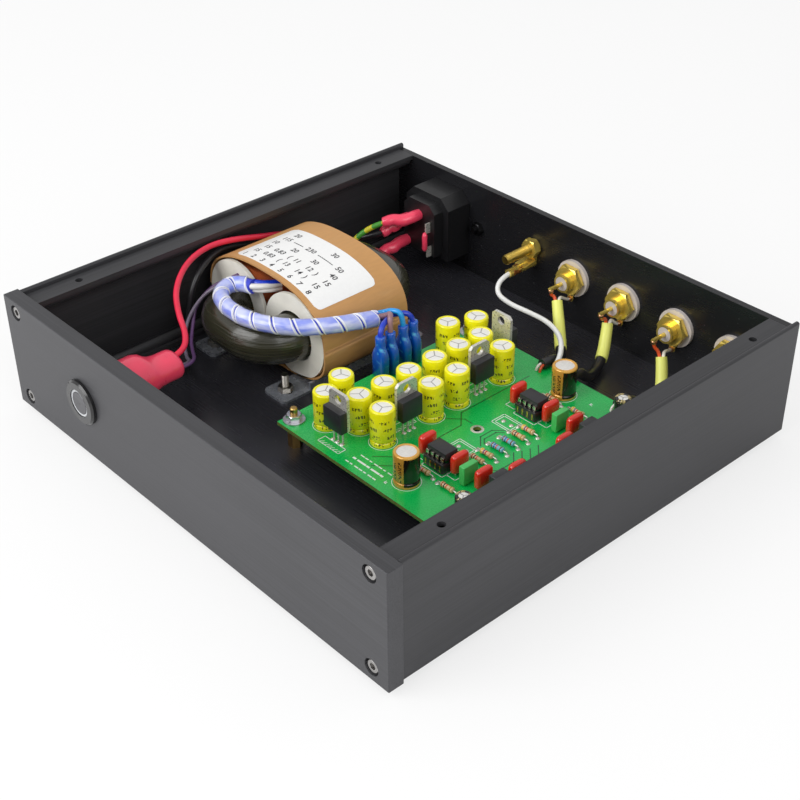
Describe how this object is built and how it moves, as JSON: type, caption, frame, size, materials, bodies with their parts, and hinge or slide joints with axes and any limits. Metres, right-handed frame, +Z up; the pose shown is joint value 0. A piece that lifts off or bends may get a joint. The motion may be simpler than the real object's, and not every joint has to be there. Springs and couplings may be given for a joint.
{
  "type": "phono preamp",
  "caption": "Low black desktop case, lid off, with a looped-core mains transformer, a fused inlet, a green two-channel board, phono jacks and a push button.",
  "frame": {"origin": "middle of the space under the feet", "axes": "+Z up, -Y towards the front panel with the button, +X to the right seen from the front"},
  "size_m": [0.226, 0.227, 0.053],
  "materials": {
    "black_anodised": "brushed, anodised black",
    "black_inside": "smooth black",
    "silver_steel": "plated",
    "rubber_black": "matt",
    "button_black": "satin black",
    "light_ring": "translucent",
    "black_plastic": "moulded",
    "red_vinyl": "soft satin",
    "brass_contacts": "plated",
    "fuse_glass": "clear",
    "gold": "gold plated, bright",
    "milky_plastic": "milky",
    "yellow_tube": "satin",
    "bare_leads": "white insulation",
    "black_cable": "satin",
    "white_wire": "glossy",
    "core_steel": "dark lacquer",
    "bobbin_plastic": "moulded",
    "copper": "enamelled",
    "kraft_wrap": "smooth brown paper board",
    "neutral_black": "satin",
    "earth_green": "satin",
    "purple_wire": "satin",
    "grey_wire": "satin",
    "spiral_wrap": "milky, over blue",
    "blue_leads": "satin",
    "board_green": "glossy mask",
    "cap_yellow": "glossy sleeve",
    "cap_dark": "glossy sleeve",
    "regulator_dark": "moulded, plated tab",
    "chip_black": "moulded",
    "film_red": "coated",
    "resistor_body": "coated",
    "connector_blue": "clear sleeve"
  },
  "bodies": {
    "chassis": {"board_leads": "bare_leads", "board_nuts": "silver_steel", "board_standoffs": "silver_steel", "bottom_plate": "black_inside", "button_boot": "red_vinyl", "button_housing": "button_black", "button_nut": "silver_steel", "button_ring": "light_ring", "circuit_board": "board_green", "countersunk_screws": "silver_steel", "earth_wire": "earth_green", "feet": "rubber_black", "film_capacitors": "film_red", "filter_capacitors": "cap_yellow", "front_panel": "black_anodised", "front_screws": "silver_steel", "ground_post": "gold", "ground_post_nut": "gold", "ground_wire": "white_wire", "inlet_contacts": "brass_contacts", "inlet_housing": "black_plastic", "jack_bodies": "gold", "jack_centre_contacts": "gold", "jack_insulators": "milky_plastic", "jack_leads": "bare_leads", "jack_nuts": "gold", "jack_solder_tags": "gold", "lead_sleeves": "yellow_tube", "left_side_panel": "black_anodised", "live_wire": "red_vinyl", "neutral_wire": "neutral_black", "op_amps": "chip_black", "primary_wire_1": "purple_wire", "primary_wire_2": "grey_wire", "quick_connects": "connector_blue", "rear_panel": "black_inside", "regulators": "regulator_dark", "resistors": "resistor_body", "right_side_panel": "black_anodised", "ring_lugs": "gold", "secondary_bundle": "spiral_wrap", "secondary_leads": "blue_leads", "signal_cable_1": "black_cable", "signal_cable_2": "black_cable", "signal_cable_3": "black_cable", "signal_cable_4": "black_cable", "signal_capacitors": "cap_dark", "terminal_sleeves": "red_vinyl", "transformer_bobbins": "bobbin_plastic", "transformer_bolts": "silver_steel", "transformer_brackets": "core_steel", "transformer_core": "core_steel", "transformer_windings": "copper", "transformer_wrap": "kraft_wrap"},
    "power_button": {"button_cap": "button_black"},
    "fuse_drawer": {"fuse_drawer": "black_plastic", "fuse": "fuse_glass"},
    "ground_washer": {"ground_washer": "gold"},
    "thumb_nut": {"ground_thumb_nut": "gold"}
  },
  "joints": [
    {"name": "power_button", "type": "slide", "parent": "chassis", "child": "power_button", "axis": [0, 1, 0], "range_m": [0, 0.0025], "stiffness_N_per_m": 600},
    {"name": "fuse_drawer", "type": "slide", "parent": "chassis", "child": "fuse_drawer", "axis": [0, 1, 0], "range_m": [0, 0.012]},
    {"name": "ground_washer", "type": "slide", "parent": "chassis", "child": "ground_washer", "axis": [0, 1, 0], "range_m": [0, 0.0035]},
    {"name": "thumb_nut", "type": "hinge", "parent": "ground_washer", "child": "thumb_nut", "pos_m": [-0.0215, 0.106, 0.034], "axis": [0, 1, 0], "range_deg": [0, 1800]}
  ],
  "couplings": [
    {"joint": "thumb_nut", "follows": "ground_washer", "rad_per_m": 8976}
  ]
}
